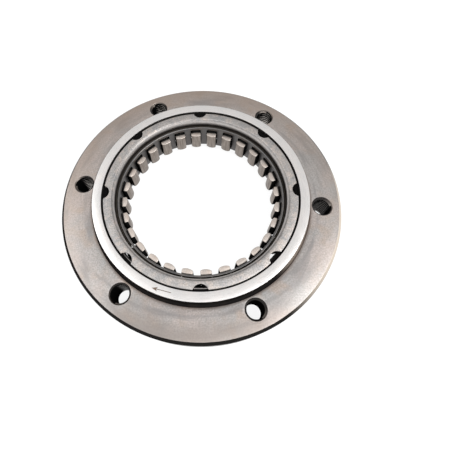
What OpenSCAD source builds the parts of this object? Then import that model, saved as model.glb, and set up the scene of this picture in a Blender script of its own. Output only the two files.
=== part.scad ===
// One-way sprag clutch for an engine starter: a flanged outer race with a double-cage sprag set.
// The axis is Z. The flange's underside lies on z = 0 and the hub face looks up.

/* [Outer race] */
// Outside diameter of the flange
flange_od = 114; // [106:0.5:132]
// Thickness of the flange
flange_t = 12; // [10:0.1:16]
// Chamfer on both outer edges of the flange
flange_chamfer = 1.1; // [0.4:0.1:2]
// Wall of the raised hub that pilots in the flywheel, outside its counterbore
hub_wall = 3.9; // [3:0.05:6]
// Height of the hub above the flange
hub_h = 4.2; // [3:0.1:8]
// Chamfer on the hub's outer edge
hub_chamfer = 0.3; // [0.2:0.1:1]
// Width of the relief groove at the foot of the hub
relief_w = 1.0; // [0.7:0.1:1.5]
// Depth of the relief groove
relief_depth = 0.35; // [0.2:0.05:0.8]
// Clearance around the cage's flange in the counterbore
counterbore_gap = 0.5; // [0.2:0.05:0.8]
// Lead-in chamfer at both ends of the track
track_chamfer = 0.5; // [0.2:0.1:0.8]
// How far the cage's flange reaches outwards past the track
cage_seat_w = 1.35; // [1:0.05:2]
// Break of the sharp edge at the counterbore's mouth
counterbore_chamfer = 0.25; // [0.1:0.05:0.5]

/* [Tapped holes] */
// Number of tapped holes
hole_count = 6; // [3:1:12]
// Distance from a hole's centre to the flange's edge
hole_edge = 7.8; // [6:0.1:10]
// Distance from a hole's centre to the hub's wall
hole_hub_gap = 5.7; // [5.4:0.05:8]
// Minor diameter of the thread, as drilled
hole_d = 6.8; // [5:0.1:7.4]
// Diameter of the countersink at both ends of a hole
countersink_d = 8.2; // [7.6:0.1:9]

/* [Outer cage] */
// How far the cage's flange lies below the hub face
cage_recess = 0.5; // [0.2:0.1:1]
// Thickness of the cage's sheet metal
cage_t = 1.1; // [0.8:0.1:1.2]
// Gap between the track and the cage's wall
cage_gap = 1.8; // [1.3:0.05:2]
// Inside radius of the bend between flange and wall
cage_bend_r = 0.5; // [0.3:0.1:0.8]
// Height of both cages' lower edges above the flange's underside
cage_bottom_z = 0.5; // [0.2:0.1:1.2]
// Number of half-round notches in the cage's flange
notch_count = 8; // [4:1:12]
// Diameter of a notch
notch_d = 6; // [4:0.1:7]
// How far a notch cuts into the flange
notch_depth = 2.3; // [1:0.1:2.6]
// Angle of the first notch
notch_start = 6.7; // [0:0.1:45]

/* [Inner cage] */
// Gap between the two cages, which holds the ribbon spring
cages_gap = 0.8; // [0.7:0.05:1]
// Thickness of the inner cage's wall
inner_cage_t = 0.9; // [0.7:0.1:1.1]
// Rim of the inner cage above its windows
inner_cage_rim = 1.4; // [1.2:0.1:2.6]
// Chamfer on the inner cage's upper inner edge
inner_cage_chamfer = 0.5; // [0.2:0.1:0.6]

/* [Windows] */
// Rim of both cages below their windows
window_sill = 1.3; // [1.2:0.1:1.8]
// Axial play of a sprag in its windows
window_play = 1; // [0.4:0.1:1.2]
// Clearance on each side of a sprag's head in the outer cage's window
outer_window_gap = 0.25; // [0.15:0.05:0.4]
// Clearance on each side of a sprag's foot when it is fitted through the inner cage's window
inner_window_gap = 0.3; // [0.25:0.05:0.5]
// Corner radius of the windows
window_corner_r = 0.5; // [0.3:0.1:1]

/* [Sprags] */
// Number of sprags
sprag_count = 28; // [24:1:28]
// Angle of the first sprag
sprag_start = 10.3; // [0:0.1:12.8]
// Length of a sprag along the axis
sprag_len = 8.6; // [7:0.1:9]
// Radius of the round head that rolls on the track
sprag_head_r = 2.05; // [1.9:0.01:2.15]
// Clearance between a sprag's head and the track
head_gap = 0.1; // [0.08:0.01:0.15]
// Clearance under a sprag in its window
seat_gap = 0.1; // [0.08:0.01:0.3]
// Distance from the centre of a sprag's head to the tip of its foot
foot_depth = 5.2; // [4.8:0.1:5.6]
// Width of a sprag's foot
foot_w = 4.3; // [4:0.1:4.5]
// Radius of the cam that grips the inner race
cam_r = 3.6; // [3:0.1:4.2]
// Offset of the cam's centre from the sprag's middle, in the direction of the lean
cam_offset = 0.45; // [0.2:0.05:0.7]
// Narrowest width of a sprag, at its waist
waist_w = 3.1; // [2.6:0.1:3.4]
// Radius of the hollows on both sides of the waist
waist_r = 1.35; // [1.1:0.05:1.5]
// Bevel on the inner edges of a sprag's foot
foot_bevel = 0.35; // [0.2:0.05:0.6]

/* [Ribbon spring] */
// Thickness of the spring's strip
spring_t = 0.25; // [0.15:0.01:0.3]
// Clearance between the spring and the inner cage
spring_gap = 0.28; // [0.2:0.01:0.3]
// Height of the strip above and below its windows
spring_rim = 1.1; // [0.6:0.1:1.2]
// Height of the tongue that presses on a sprag
tongue_h = 4.0; // [2:0.1:6]
// Clearance between a tongue and its sprag at rest
tongue_gap = 0.12; // [0.08:0.01:0.2]
// Length of a tongue from the edge of its window
tongue_len = 0.45; // [0.2:0.05:0.6]

/* [Smoothness] */
// Facets of a full circle in the preview
smooth = 96; // [48:12:240]

/* [Hidden] */
flange_r = flange_od / 2;
hole_r = flange_r - hole_edge;
hub_r = hole_r - hole_hub_gap;
counterbore_r = hub_r - hub_wall;
cage_flange_r = counterbore_r - counterbore_gap;
track_r = cage_flange_r - cage_seat_w;
cage_wall_r = track_r - cage_gap - cage_t;
inner_cage_r = cage_wall_r - cages_gap - inner_cage_t;

hub_top_z = flange_t + hub_h;
cage_top_z = hub_top_z - cage_recess;
cage_seat_gap = 0.05;
ledge_z = cage_top_z - cage_t - cage_seat_gap;

window_z = cage_bottom_z + window_sill;
window_h = sprag_len + window_play;
outer_window_w = 2 * (sprag_head_r + outer_window_gap);
inner_window_w = foot_w + 2 * inner_window_gap;
inner_cage_top_z = window_z + window_h + inner_cage_rim;

sprag_pitch = 360 / sprag_count;
pivot_r = track_r - head_gap - sprag_head_r;
foot_r = pivot_r - foot_depth;
foot_margin = foot_bevel / 4;
sprag_z = window_z + seat_gap;
waist_y = inner_cage_r + inner_cage_t / 2 - pivot_r;

spring_r = inner_cage_r + inner_cage_t + spring_gap;
spring_window_w = 2 * (sprag_head_r + tongue_gap + tongue_len);

cut = 1;
cutter = 10;

SPRAGS = [for (i = [1:sprag_count]) str("sprag_", i < 10 ? "0" : "", i)];
$fn = smooth;

// Puts copies of a shape at equal steps around the axis
module around(count, start = 0) {
    for (i = [0:count - 1])
        rotate([0, 0, start + i * 360 / count]) children();
}

// Half section of the race: flange, hub, counterbore with its ledge, and the sprag track
module race_section() {
    polygon([
        [track_r + track_chamfer, 0],
        [flange_r - flange_chamfer, 0],
        [flange_r, flange_chamfer],
        [flange_r, flange_t - flange_chamfer],
        [flange_r - flange_chamfer, flange_t],
        [hub_r + relief_w, flange_t],
        [hub_r + relief_w, flange_t - relief_depth],
        [hub_r, flange_t - relief_depth],
        [hub_r, hub_top_z - hub_chamfer],
        [hub_r - hub_chamfer, hub_top_z],
        [counterbore_r + counterbore_chamfer, hub_top_z],
        [counterbore_r, hub_top_z - counterbore_chamfer],
        [counterbore_r, ledge_z],
        [track_r + track_chamfer, ledge_z],
        [track_r, ledge_z - track_chamfer],
        [track_r, track_chamfer]
    ]);
}

// Drill with a countersink at both faces of the flange
module tapped_hole() {
    sink = (countersink_d - hole_d) / 2;
    translate([0, 0, -cut]) cylinder(d = hole_d, h = flange_t + 2 * cut);
    translate([0, 0, flange_t - sink]) cylinder(d1 = hole_d, d2 = countersink_d + 2 * cut, h = sink + cut);
    translate([0, 0, -cut]) cylinder(d1 = countersink_d + 2 * cut, d2 = hole_d, h = sink + cut);
}

module outer_race() {
    color([0.66, 0.62, 0.59])
    difference() {
        rotate_extrude() race_section();
        around(hole_count) translate([hole_r, 0, 0]) tapped_hole();
    }
}

// Outline of a window, centred on its own height, with round corners
module window_outline(w) {
    r = window_corner_r;
    square([w - 2 * r, window_h], center = true);
    square([w, window_h - 2 * r], center = true);
    for (x = [-1, 1], y = [-1, 1])
        translate([x * (w / 2 - r), y * (window_h / 2 - r)]) circle(r);
}

// Cutters for one ring of windows, reaching outwards from inside the wall
module windows(w, wall_r) {
    around(sprag_count, sprag_start)
        translate([wall_r - cutter / 2, 0, window_z + window_h / 2])
            rotate([90, 0, 90]) linear_extrude(cutter) window_outline(w);
}

// Half section of the outer cage: a wall bent outwards into a flange
module outer_cage_section() {
    bend_out = cage_bend_r + cage_t;
    bend_x = cage_wall_r + bend_out;
    bend_z = cage_top_z - bend_out;
    translate([cage_wall_r, cage_bottom_z]) square([cage_t, bend_z - cage_bottom_z]);
    translate([bend_x, cage_top_z - cage_t]) square([cage_flange_r - bend_x, cage_t]);
    intersection() {
        translate([bend_x, bend_z]) difference() {
            circle(bend_out);
            circle(cage_bend_r);
        }
        translate([cage_wall_r, bend_z]) square(bend_out);
    }
}

module outer_cage() {
    notch_r = cage_flange_r - notch_depth + notch_d / 2;
    color([0.60, 0.61, 0.61])
    difference() {
        rotate_extrude() outer_cage_section();
        windows(outer_window_w, cage_wall_r);
        around(notch_count, notch_start)
            translate([notch_r, 0, cage_top_z - cage_t - cut])
                cylinder(d = notch_d, h = cage_t + 2 * cut);
    }
}

module inner_cage() {
    outside_r = inner_cage_r + inner_cage_t;
    color([0.45, 0.46, 0.46])
    difference() {
        rotate_extrude() polygon([
            [inner_cage_r, cage_bottom_z],
            [outside_r, cage_bottom_z],
            [outside_r, inner_cage_top_z],
            [inner_cage_r + inner_cage_chamfer, inner_cage_top_z],
            [inner_cage_r, inner_cage_top_z - inner_cage_chamfer]
        ]);
        windows(inner_window_w, inner_cage_r);
    }
}

// Strip between the cages, with a window for each sprag and a tongue that stands it up
module ribbon_spring() {
    low_z = window_z - spring_rim;
    high_z = window_z + window_h + spring_rim;
    tongue_x = sprag_head_r + tongue_gap;
    tongue_z = window_z + (window_h - tongue_h) / 2;
    color([0.55, 0.52, 0.46])
    intersection() {
        translate([0, 0, low_z]) difference() {
            cylinder(r = spring_r + spring_t, h = high_z - low_z);
            translate([0, 0, -cut]) cylinder(r = spring_r, h = high_z - low_z + 2 * cut);
        }
        difference() {
            cylinder(r = spring_r + cutter, h = hub_top_z);
            around(sprag_count, sprag_start) difference() {
                translate([spring_r - cutter / 2, -spring_window_w / 2, window_z])
                    cube([cutter, spring_window_w, window_h]);
                translate([spring_r - cutter / 2 - cut, -tongue_x - cutter, tongue_z])
                    cube([cutter + 2 * cut, cutter, tongue_h]);
            }
        }
    }
}

// Sprag outline. Its head is round about the origin, Y points at the track and X leans clockwise.
module sprag_outline() {
    slab_w = 2 * sprag_head_r;
    hollow_x = waist_w / 2 + waist_r;
    step_y = waist_y - waist_r / 2;
    intersection() {
        difference() {
            union() {
                circle(sprag_head_r);
                translate([-slab_w / 2, step_y]) square([slab_w, -step_y]);
                translate([-foot_w / 2, -foot_depth - cut]) square([foot_w, foot_depth + cut + step_y]);
            }
            for (side = [-1, 1]) translate([side * hollow_x, waist_y]) circle(waist_r);
        }
        union() {
            translate([cam_offset, cam_r - foot_depth]) circle(cam_r);
            translate([-slab_w, cam_r - foot_depth]) square([2 * slab_w, 2 * foot_depth]);
        }
    }
}

// Ring that all the sprags lie in, bevelled where the feet meet the inner race
module sprag_envelope() {
    inside_r = foot_r - foot_margin;
    rotate_extrude() polygon([
        [inside_r, sprag_z + foot_bevel],
        [inside_r + foot_bevel, sprag_z],
        [track_r, sprag_z],
        [track_r, sprag_z + sprag_len],
        [inside_r + foot_bevel, sprag_z + sprag_len],
        [inside_r, sprag_z + sprag_len - foot_bevel]
    ]);
}

module sprag(i) {
    color([0.72, 0.68, 0.64])
    intersection() {
        rotate([0, 0, sprag_start + (i - 1) * sprag_pitch - 90]) translate([0, pivot_r, sprag_z - cut])
            linear_extrude(sprag_len + 2 * cut) sprag_outline();
        sprag_envelope();
    }
}

outer_race();
outer_cage();
inner_cage();
ribbon_spring();
for (i = [1:sprag_count]) sprag(i);
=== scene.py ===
"""Looks of a sprag starter clutch: a flanged outer race with its double-cage sprag set.

Sizes are written in millimetres and turned into metres where a mesh is made. Angles are in degrees about the
clutch's axis, anticlockwise from above, and start at the tapped hole on +X.
"""

import logging
import math
from collections.abc import Iterator
from contextlib import contextmanager
from dataclasses import dataclass
from enum import Enum

import bmesh
import bpy
from mathutils import Matrix, Vector


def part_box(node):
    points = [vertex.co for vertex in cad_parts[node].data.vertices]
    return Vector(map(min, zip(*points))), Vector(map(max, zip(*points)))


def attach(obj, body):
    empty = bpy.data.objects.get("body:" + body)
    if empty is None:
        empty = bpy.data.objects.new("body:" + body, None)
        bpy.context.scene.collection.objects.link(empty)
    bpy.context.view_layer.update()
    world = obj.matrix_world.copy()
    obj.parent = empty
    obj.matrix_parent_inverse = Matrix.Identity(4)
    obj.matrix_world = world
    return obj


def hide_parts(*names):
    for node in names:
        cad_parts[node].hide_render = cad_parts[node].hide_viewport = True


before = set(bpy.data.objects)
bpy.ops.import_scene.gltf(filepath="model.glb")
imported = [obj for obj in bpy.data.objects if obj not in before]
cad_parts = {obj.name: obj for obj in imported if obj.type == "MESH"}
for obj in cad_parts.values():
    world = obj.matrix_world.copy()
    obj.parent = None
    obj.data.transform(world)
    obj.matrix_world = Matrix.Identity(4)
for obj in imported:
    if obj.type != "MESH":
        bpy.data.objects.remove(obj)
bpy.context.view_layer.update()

log = logging.getLogger("clutch")

# A millimetre in metres, and how close points are welded.
MM = 0.001
WELD = 0.002 * MM
# A face is level when the upright part of its normal is above this.
LEVEL = 0.98
# A full turn in degrees, and the angle at which something drawn along +Y lies.
FULL_TURN = 360
Y_ANGLE = 90
# The tapped holes: how many, how far out, and the radius inside their threads.
HOLE_COUNT = 6
HOLE_RING_R = 49.2
THREAD_R = 3.26

Colour = tuple[float, float, float]
Point = tuple[float, float]
Socket = bpy.types.NodeSocket
Input = Socket | float


class Plane(Enum):
    """The plane that an outline is drawn in."""

    SECTION = "section"
    PLAN = "plan"

    def place(self, point: Point, height: float = 0.0) -> Vector:
        """Puts an outline's point in space, in metres, at a height above the plane."""
        x, y = point
        return Vector((x, height, y) if self is Plane.SECTION else (x, y, height)) * MM


class Way(Enum):
    """The way that an arc turns."""

    ANTICLOCKWISE = 1
    CLOCKWISE = -1


@dataclass(frozen=True)
class Corner:
    """One corner of an outline, with the radius that rounds it."""

    x: float
    y: float
    fillet: float = 0.0
    steps: int = 4


def rounded(corners: list[Corner]) -> list[Point]:
    """Turns the corners of a closed outline into points.

    Args:
        corners: The corners in order, each with its fillet.

    Returns:
        The points of the outline, each fillet as an arc.
    """
    points: list[Point] = []
    for i, here in enumerate(corners):
        if not here.fillet:
            points.append((here.x, here.y))
            continue
        before, after = corners[i - 1], corners[(i + 1) % len(corners)]
        back = Vector((before.x - here.x, before.y - here.y)).normalized()
        on = Vector((after.x - here.x, after.y - here.y)).normalized()
        half = back.angle(on) / 2
        centre = Vector((here.x, here.y)) + (back + on).normalized() * here.fillet / math.sin(half)
        reach = here.fillet / math.tan(half)
        start = Vector((here.x, here.y)) + back * reach - centre
        end = Vector((here.x, here.y)) + on * reach - centre
        first = math.atan2(start.y, start.x)
        sweep = (math.atan2(end.y, end.x) - first + math.pi) % math.tau - math.pi
        for k in range(here.steps + 1):
            angle = first + sweep * k / here.steps
            across, up = here.fillet * math.cos(angle), here.fillet * math.sin(angle)
            points.append((centre.x + across, centre.y + up))
    return points


def arc(centre: Point, radius: float, start: Point, end: Point, way: Way, steps: int) -> list[Point]:
    """Gives the points of an arc between two points.

    Args:
        centre: The arc's centre.
        radius: The arc's radius.
        start: A point in the direction of the arc's start.
        end: A point in the direction of the arc's end.
        way: The way that it turns.
        steps: The number of straight steps.

    Returns:
        The points from start to end.
    """
    first = math.atan2(start[1] - centre[1], start[0] - centre[0])
    last = math.atan2(end[1] - centre[1], end[0] - centre[0])
    sweep = ((last - first) * way.value) % math.tau * way.value
    angles = [first + sweep * k / steps for k in range(steps + 1)]
    return [(centre[0] + radius * math.cos(a), centre[1] + radius * math.sin(a)) for a in angles]


def turn_by(degrees: float) -> Matrix:
    """Gives a turn about the clutch's axis."""
    return Matrix.Rotation(math.radians(degrees), 4, "Z")


def move_by(x: float, y: float) -> Matrix:
    """Gives a level move in millimetres."""
    return Matrix.Translation((x * MM, y * MM, 0))


def make_active(piece: bpy.types.Object) -> None:
    """Makes one object the only selected and the active one.

    Args:
        piece: The object.
    """
    bpy.ops.object.select_all(action="DESELECT")
    piece.select_set(True)
    bpy.context.view_layer.objects.active = piece


def add_object(name: str, data: bpy.types.ID) -> bpy.types.Object:
    """Puts new data in the scene.

    Args:
        name: The new object's name.
        data: Its mesh, camera or lamp.

    Returns:
        The object.
    """
    item = bpy.data.objects.new(name, data)
    bpy.context.scene.collection.objects.link(item)
    return item


@contextmanager
def editing(action: str = "SELECT") -> Iterator[None]:
    """Edits the active mesh.

    Args:
        action: What is done with the selection first.

    Yields:
        Nothing, while the mesh is in edit mode.
    """
    bpy.ops.object.mode_set(mode="EDIT")
    bpy.ops.mesh.select_all(action=action)
    yield
    bpy.ops.object.mode_set(mode="OBJECT")


def extrude_by(step: Vector) -> None:
    """Extrudes what is selected, and moves the new part by a step in metres."""
    bpy.ops.mesh.extrude_region_move(TRANSFORM_OT_translate={"value": step})


def close_mesh(piece: bpy.types.Object) -> None:
    """Welds a mesh's doubles and turns its faces outwards.

    Args:
        piece: The object that holds the mesh.
    """
    make_active(piece)
    with editing():
        bpy.ops.mesh.remove_doubles(threshold=WELD)
        bpy.ops.mesh.normals_make_consistent(inside=False)


def trace_outline(name: str, points: list[Point], plane: Plane) -> bpy.types.Object:
    """Draws a closed outline by extruding one vertex from point to point.

    Args:
        name: The new object's name.
        points: The outline's points, in millimetres.
        plane: The plane that the outline lies in.

    Returns:
        The wire outline, its object at the origin.
    """
    places = [plane.place(point) for point in points]
    bpy.ops.object.select_all(action="DESELECT")
    bpy.ops.mesh.primitive_plane_add(size=MM)
    wire = bpy.context.object
    wire.name = wire.data.name = name
    with editing():
        bpy.ops.mesh.merge(type="CENTER")
        bpy.ops.transform.translate(value=places[0])
        for here, there in zip(places, places[1:] + places[:1]):
            extrude_by(there - here)
        bpy.ops.mesh.select_all(action="SELECT")
        bpy.ops.mesh.remove_doubles(threshold=WELD)
    return wire


def spin_solid(name: str, points: list[Point], steps: int) -> bpy.types.Object:
    """Spins a half section about the axis into a closed ring.

    Args:
        name: The ring's name.
        points: The half section as radius and height.
        steps: The number of steps in a full turn.

    Returns:
        The ring.
    """
    ring = trace_outline(name, points, Plane.SECTION)
    with editing():
        bpy.ops.mesh.spin(steps=steps, angle=math.tau, center=(0, 0, 0), axis=(0, 0, 1))
    close_mesh(ring)
    return ring


def extrude_solid(name: str, points: list[Point], plane: Plane, low: float, high: float) -> bpy.types.Object:
    """Extrudes an outline into a closed solid.

    Args:
        name: The solid's name.
        points: The outline.
        plane: The plane that it is drawn in.
        low: Where the solid starts, above the plane.
        high: Where it ends.

    Returns:
        The solid.
    """
    solid = trace_outline(name, points, plane)
    with editing():
        bpy.ops.transform.translate(value=plane.place((0, 0), low))
        bpy.ops.mesh.edge_face_add()
        extrude_by(plane.place((0, 0), high - low))
    close_mesh(solid)
    return solid


def copies_around(piece: bpy.types.Object, count: int, start: float = 0.0) -> bpy.types.Object:
    """Joins copies of a solid at equal steps around the axis, and takes the first one's place.

    Args:
        piece: The solid to repeat.
        count: The number of copies.
        start: The angle of the first copy.

    Returns:
        One object that holds all the copies.
    """
    turns = [turn_by(start + k * FULL_TURN / count) for k in range(count)]
    copies = [add_object(piece.name, piece.data.copy()) for _ in turns[1:]]
    for item, turn in zip([piece, *copies], turns):
        item.data.transform(turn)
    make_active(piece)
    for copy in copies:
        copy.select_set(True)
    bpy.ops.object.join()
    return piece


def cut_away(piece: bpy.types.Object, cutter: bpy.types.Object) -> None:
    """Cuts one solid out of another, and deletes the cutter.

    Args:
        piece: The solid that is cut.
        cutter: The solid that cuts it.
    """
    cut = piece.modifiers.new("cut", "BOOLEAN")
    cut.operation = "DIFFERENCE"
    cut.solver = "MANIFOLD"
    cut.object = cutter
    make_active(piece)
    bpy.ops.object.modifier_apply(modifier=cut.name)
    bpy.data.objects.remove(cutter)


def smooth_shade(piece: bpy.types.Object, angle: float = 30.0) -> None:
    """Shades a piece smooth, but for edges sharper than an angle."""
    make_active(piece)
    bpy.ops.object.shade_smooth_by_angle(angle=math.radians(angle))


def set_finishes(piece: bpy.types.Object, finishes: list[bpy.types.Material]) -> None:
    """Puts finishes in a piece's material slots, in place of what cutting left there.

    Args:
        piece: The piece.
        finishes: The finish of each slot.
    """
    piece.data.materials.clear()
    for finish in finishes:
        piece.data.materials.append(finish)


def linear(red: int, green: int, blue: int) -> Colour:
    """Turns a colour of 0 to 255 as the eye sees it into the linear values that a shader takes."""
    levels = (red / 255, green / 255, blue / 255)
    return tuple(((c + 0.055) / 1.055) ** 2.4 if c > 0.04045 else c / 12.92 for c in levels)


class Kind(Enum):
    """The kinds of a node group's sockets."""

    VALUE = "NodeSocketFloat"
    VECTOR = "NodeSocketVector"
    COLOUR = "NodeSocketColor"


@dataclass(frozen=True)
class Fade:
    """A smooth change from one level to another, between two values."""

    low: Input
    high: Input
    start: Input = 0.0
    end: Input = 1.0

    def inputs(self) -> dict[str, Input]:
        """Gives the inputs of a Map Range node, or of an effect that has its names."""
        return {"From Min": self.low, "From Max": self.high, "To Min": self.start, "To Max": self.end}


FADE_SOCKETS = dict.fromkeys(Fade(0.0, 1.0).inputs(), Kind.VALUE)


@dataclass(frozen=True)
class Side:
    """A side of the clutch: its angle, and how its mask fades as a direction agrees with it, from -1 to 1."""

    angle: float
    fade: Fade


@dataclass(frozen=True)
class Ring:
    """A ring on the surface: its radius, its half width, the half width of its even core, and its level."""

    radius: float
    width: float
    core: float = 0.0
    level: float = 1.0


class NodeSketch:
    """Adds nodes to a node tree and links them by name."""

    def __init__(self, tree: bpy.types.NodeTree) -> None:
        """Takes the tree that the nodes go into."""
        self.tree = tree

    def add(self, kind: str, inputs: dict | None = None, **settings: object) -> bpy.types.Node:
        """Adds one node.

        Args:
            kind: The node's type, without its ShaderNode prefix.
            inputs: A value or an output socket for each input, by name or number.
            settings: The node's own settings.

        Returns:
            The new node.
        """
        node = self.tree.nodes.new(kind if kind.startswith("Node") else "ShaderNode" + kind)
        for key, value in settings.items():
            setattr(node, key, value)
        for key, value in (inputs or {}).items():
            socket = node.inputs[key]
            if isinstance(value, Socket):
                self.tree.links.new(value, socket)
            else:
                socket.default_value = (*value, 1) if socket.type == "RGBA" else value
        return node

    def maths(self, operation: str, first: Input, second: Input = 0.0, clamp: bool = False) -> Socket:
        """Adds a Math node and returns its value."""
        return self.add("Math", {0: first, 1: second}, operation=operation, use_clamp=clamp).outputs[0]

    def times(self, first: Input, second: Input) -> Socket:
        """Multiplies two values and returns the result."""
        return self.maths("MULTIPLY", first, second)

    def swing(self, height: Socket) -> Socket:
        """Spreads a height of 0 to 1 over -1 to 1, and returns it."""
        return self.times(self.maths("SUBTRACT", height, 0.5), 2.0)

    def vector(self, operation: str, *vectors: Socket | Colour) -> Socket:
        """Adds a Vector Math node and returns its result, which is a value for a length or a dot product."""
        node = self.add("VectorMath", dict(enumerate(vectors)), operation=operation)
        return node.outputs["Value" if operation in ("LENGTH", "DOT_PRODUCT") else "Vector"]

    def scaled(self, vector: Socket, factor: Input) -> Socket:
        """Multiplies a vector or a colour by a value and returns the result."""
        return self.add("VectorMath", {0: vector, "Scale": factor}, operation="SCALE").outputs[0]

    def ramp(self, value: Input, fade: Fade) -> Socket:
        """Fades a value and returns it."""
        inputs = {"Value": value, **fade.inputs()}
        return self.add("MapRange", inputs, interpolation_type="SMOOTHSTEP").outputs[0]

    def noise(self, inputs: dict, dimensions: str = "3D") -> Socket:
        """Adds a Noise Texture node and returns its value."""
        return self.add("TexNoise", inputs, noise_dimensions=dimensions).outputs[0]

    def mix(self, share: Input, first: Socket | Colour, second: Socket | Colour) -> Socket:
        """Mixes two colours and returns the result."""
        return self.add("Mix", {0: share, 6: first, 7: second}, data_type="RGBA").outputs[2]


class Effect(NodeSketch):
    """An effect that several finishes share: a node group with named inputs and outputs."""

    name: str
    takes: dict[str, Kind]
    gives: dict[str, Kind]

    def __init__(self) -> None:
        """Makes the group with its sockets, and draws what lies between them."""
        super().__init__(bpy.data.node_groups.new(self.name, "ShaderNodeTree"))
        for way, sockets in (("INPUT", self.takes), ("OUTPUT", self.gives)):
            for label, kind in sockets.items():
                self.tree.interface.new_socket(label, in_out=way, socket_type=kind.value)
        self.enter = self.add("NodeGroupInput").outputs
        self.leave = self.add("NodeGroupOutput").inputs
        self.draw()

    def draw(self) -> None:
        """Adds the nodes of the effect."""
        raise NotImplementedError

    def give(self, **results: Socket) -> None:
        """Links results to the group's outputs, by name."""
        for label, result in results.items():
            self.tree.links.new(result, self.leave[label])

    def entered_fade(self) -> Fade:
        """Gives the fade that the group's inputs carry."""
        return Fade(*(self.enter[label] for label in FADE_SOCKETS))


class PolarPlace(Effect):
    """A point's distance from the axis, its direction from it and its height."""

    name = "polar place"
    takes = {"Place": Kind.VECTOR}
    gives = {"Radius": Kind.VALUE, "Around": Kind.VECTOR, "Height": Kind.VALUE}

    def draw(self) -> None:
        """Adds the nodes of the effect."""
        split = self.add("SeparateXYZ", {0: self.enter["Place"]}).outputs
        flat = self.add("CombineXYZ", {0: split[0], 1: split[1]}).outputs[0]
        self.give(Radius=self.vector("LENGTH", flat), Around=self.vector("NORMALIZE", flat), Height=split[2])


class TurningMarks(Effect):
    """Fine lines that run round the axis, as a lathe or a grinding wheel leaves them."""

    name = "turning marks"
    takes = {"Around": Kind.VECTOR}
    takes |= dict.fromkeys(("Radius", "Height", "Lines", "Breaks", "Seed"), Kind.VALUE)
    gives = {"Marks": Kind.VALUE}

    def draw(self) -> None:
        """Adds the nodes of the effect."""
        enter = self.enter
        across = self.times(self.maths("ADD", enter["Radius"], enter["Height"]), enter["Lines"])
        lift = self.add("CombineXYZ", {2: across}).outputs[0]
        place = self.vector("ADD", self.scaled(enter["Around"], enter["Breaks"]), lift)
        noise = {"Vector": place, "W": enter["Seed"], "Scale": 1.0, "Detail": 4.0, "Roughness": 0.65}
        self.give(Marks=self.noise(noise, "4D"))


class Grain(Effect):
    """The fine unevenness of a metal surface, as a height between 0 and 1."""

    name = "grain"
    takes = {"Place": Kind.VECTOR, "Size": Kind.VALUE}
    gives = {"Speckle": Kind.VALUE}

    def draw(self) -> None:
        """Adds the nodes of the effect."""
        scale = self.maths("DIVIDE", 1.0, self.enter["Size"])
        self.give(Speckle=self.noise({"Vector": self.enter["Place"], "Scale": scale, "Detail": 3.0}))


class Stains(Effect):
    """Soft clouds of heat tint and handling that take a base colour to two others."""

    name = "stains"
    takes = {"Place": Kind.VECTOR, "Size": Kind.VALUE, "Amount": Kind.VALUE}
    takes |= dict.fromkeys(("Base", "Tint", "Stain"), Kind.COLOUR)
    gives = {"Colour": Kind.COLOUR}
    tint_fade = Fade(0.38, 0.66)
    stain_fade = Fade(0.45, 0.72)
    stain_fineness = 2.3

    def draw(self) -> None:
        """Adds the nodes of the effect."""
        enter = self.enter
        scale = self.maths("DIVIDE", 1.0, enter["Size"])
        wide = {"Vector": enter["Place"], "W": 1.7, "Scale": scale}
        wide |= {"Detail": 5.0, "Roughness": 0.55, "Distortion": 0.4}
        fine = wide | {"W": 6.3, "Scale": self.times(scale, self.stain_fineness)}
        colour = enter["Base"]
        for noise, fade, label in ((wide, self.tint_fade, "Tint"), (fine, self.stain_fade, "Stain")):
            cloud = self.ramp(self.noise(noise, "4D"), fade)
            colour = self.mix(self.times(cloud, enter["Amount"]), colour, enter[label])
        self.give(Colour=colour)


class Tone(Effect):
    """A colour made lighter and darker by the marks and the speckle."""

    name = "tone"
    takes = {"Colour": Kind.COLOUR}
    takes |= dict.fromkeys(("Marks", "Speckle", "Line Contrast", "Grain Contrast"), Kind.VALUE)
    gives = {"Colour": Kind.COLOUR}

    def draw(self) -> None:
        """Adds the nodes of the effect."""
        line = self.times(self.swing(self.enter["Marks"]), self.enter["Line Contrast"])
        fleck = self.times(self.swing(self.enter["Speckle"]), self.enter["Grain Contrast"])
        gain = self.maths("ADD", self.maths("ADD", line, fleck), 1.0)
        self.give(Colour=self.scaled(self.enter["Colour"], gain))


class Skin(Effect):
    """The roughness and the relief that the marks and the speckle leave."""

    name = "skin"
    takes = dict.fromkeys(("Marks", "Speckle", "Level", "Spread", "Line Depth", "Grain Depth"), Kind.VALUE)
    gives = {"Roughness": Kind.VALUE, "Height": Kind.VALUE}

    def draw(self) -> None:
        """Adds the nodes of the effect."""
        enter = self.enter
        uneven = self.times(self.swing(enter["Marks"]), enter["Spread"])
        lines = self.times(enter["Marks"], enter["Line Depth"])
        flecks = self.times(enter["Speckle"], enter["Grain Depth"])
        self.give(
            Roughness=self.maths("ADD", uneven, enter["Level"], clamp=True),
            Height=self.maths("ADD", lines, flecks),
        )


class OxideAndShade(Effect):
    """A mask that is 0 on the darkest colours, which are painted shade and dark steel, and 1 on bare metal,
    by how bright the colour is.
    """

    name = "oxide_and_shade"
    takes = {"Colour": Kind.COLOUR} | FADE_SOCKETS
    gives = {"Mask": Kind.VALUE}

    def draw(self) -> None:
        """Adds the nodes of the effect."""
        bright = self.add("RGBToBW", {0: self.enter["Colour"]}).outputs[0]
        self.give(Mask=self.ramp(bright, self.entered_fade()))


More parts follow.
